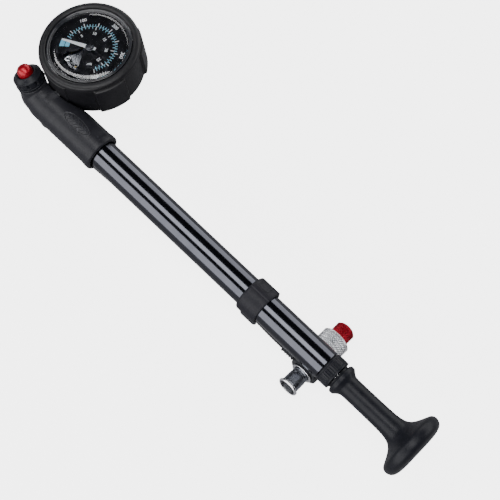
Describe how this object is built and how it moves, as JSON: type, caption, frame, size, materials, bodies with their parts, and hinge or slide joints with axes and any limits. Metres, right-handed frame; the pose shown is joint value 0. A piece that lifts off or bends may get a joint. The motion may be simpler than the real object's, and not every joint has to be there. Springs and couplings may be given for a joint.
{
  "type": "shock suspension pump",
  "caption": "Hand pump with a slim barrel, disc grip, dial gauge in a ribbed boot, bleed button and a hose folded along the barrel to a screw-on valve connector.",
  "frame": {"origin": "middle of the bounding box, on the plane of its lowest point", "axes": "+X along the barrel from head to grip, +Z out of the face of the gauge, +Y from barrel to gauge"},
  "size_m": [0.2504, 0.068, 0.0465],
  "materials": {
    "black_anodised": "gloss black anodised",
    "black_rubber": "matte black",
    "soft_black_plastic": "soft black",
    "charcoal_plastic": "satin charcoal",
    "steel": "bright",
    "brass": "turned",
    "red_plastic": "gloss red",
    "dial_print": "matte black print",
    "needle_white": "white",
    "clear_lens": "clear",
    "gloss_black": "gloss gunmetal",
    "hose_rubber": "fine ribbed black",
    "chrome": "mirror",
    "silver_anodised": "diamond knurled silver",
    "red_anodised": "diamond knurled red"
  },
  "bodies": {
    "pump_body": {"barrel": "black_anodised", "barrel_o_ring": "black_rubber", "end_cap": "soft_black_plastic", "rod_bush": "steel", "head_body": "charcoal_plastic", "passage_plug": "steel", "check_valve_seat": "brass", "check_valve_spring": "steel", "bleed_collar": "soft_black_plastic", "bleed_spring": "steel", "gauge_boot": "black_rubber", "gauge_case": "steel", "gauge_bezel": "gloss_black", "gauge_lens": "clear_lens", "gauge_dial": "dial_print", "movement_front_plate": "steel", "movement_back_plate": "steel", "movement_screw_1": "steel", "movement_screw_2": "steel", "bourdon_tube": "brass", "gauge_socket": "brass", "hose_clip": "soft_black_plastic", "fold_pin": "steel", "fold_pin_o_ring_1": "black_rubber", "fold_pin_o_ring_2": "black_rubber"},
    "plunger": {"piston": "brass", "piston_o_ring": "black_rubber"},
    "grip": {"piston_rod": "steel", "handle": "soft_black_plastic"},
    "bleed_push": {"bleed_button": "red_plastic"},
    "check_ball": {"check_valve_ball": "steel"},
    "pointer": {"needle": "needle_white", "pinion_arbor": "brass"},
    "sector": {"sector_gear": "brass"},
    "hose_arm": {"hose_swivel": "black_anodised", "head_ferrule": "black_anodised", "hose": "hose_rubber", "connector_ferrule": "black_anodised", "connector_body": "black_anodised"},
    "valve_end": {"valve_nozzle": "gloss_black", "nozzle_lip": "chrome", "nozzle_washer": "chrome", "nozzle_o_ring_1": "black_rubber", "nozzle_o_ring_2": "black_rubber", "nozzle_seal": "black_rubber", "locking_ring": "silver_anodised"},
    "knob": {"release_knob": "red_anodised"},
    "pin": {"depressor_pin": "brass"}
  },
  "joints": [
    {"name": "pump_stroke", "type": "slide", "parent": "pump_body", "child": "plunger", "axis": [1, 0, 0], "range_m": [0, 0.125]},
    {"name": "grip_spin", "type": "hinge", "parent": "plunger", "child": "grip", "pos_m": [0.09347, -0.01675, 0.02356], "axis": [1, 0, 0], "continuous": true},
    {"name": "bleed_press", "type": "slide", "parent": "pump_body", "child": "bleed_push", "axis": [0.4384, 0, -0.8988], "range_m": [0, 0.0015], "stiffness_N_per_m": 400, "deforming": ["bleed_spring"]},
    {"name": "check_ball_lift", "type": "slide", "parent": "pump_body", "child": "check_ball", "axis": [-1, 0, 0], "range_m": [0, 0.0008], "stiffness_N_per_m": 60, "deforming": ["check_valve_spring"]},
    {"name": "needle_turn", "type": "hinge", "parent": "pump_body", "child": "pointer", "pos_m": [-0.10151, 0.01075, 0.04059], "axis": [0.1392, 0, -0.9903], "range_deg": [0, 240], "stiffness_Nm_per_rad": 0.0002},
    {"name": "sector_turn", "type": "hinge", "parent": "pump_body", "child": "sector", "pos_m": [-0.09947, 0.00006, 0.03684], "axis": [0.1392, 0, -0.9903], "range_deg": [-48, 0]},
    {"name": "hose_fold", "type": "hinge", "parent": "pump_body", "child": "hose_arm", "pos_m": [-0.10253, -0.01875, 0.0093], "axis": [0, 0.9903, -0.1392], "range_deg": [0, 180]},
    {"name": "connector_swivel", "type": "hinge", "parent": "hose_arm", "child": "valve_end", "pos_m": [0.06507, -0.01875, 0.0093], "axis": [0, 0.9903, -0.1392], "continuous": true},
    {"name": "knob_turn", "type": "hinge", "parent": "valve_end", "child": "knob", "pos_m": [0.06507, 0.00204, 0.00638], "axis": [0, 0.9903, -0.1392], "range_deg": [0, 720]},
    {"name": "pin_push", "type": "slide", "parent": "valve_end", "child": "pin", "axis": [0, -0.9903, 0.1392], "range_m": [0, 0.002]}
  ],
  "couplings": [
    {"joint": "sector_turn", "follows": "needle_turn", "ratio": -0.2},
    {"joint": "knob_turn", "follows": "pin_push", "rad_per_m": 6283.2}
  ]
}
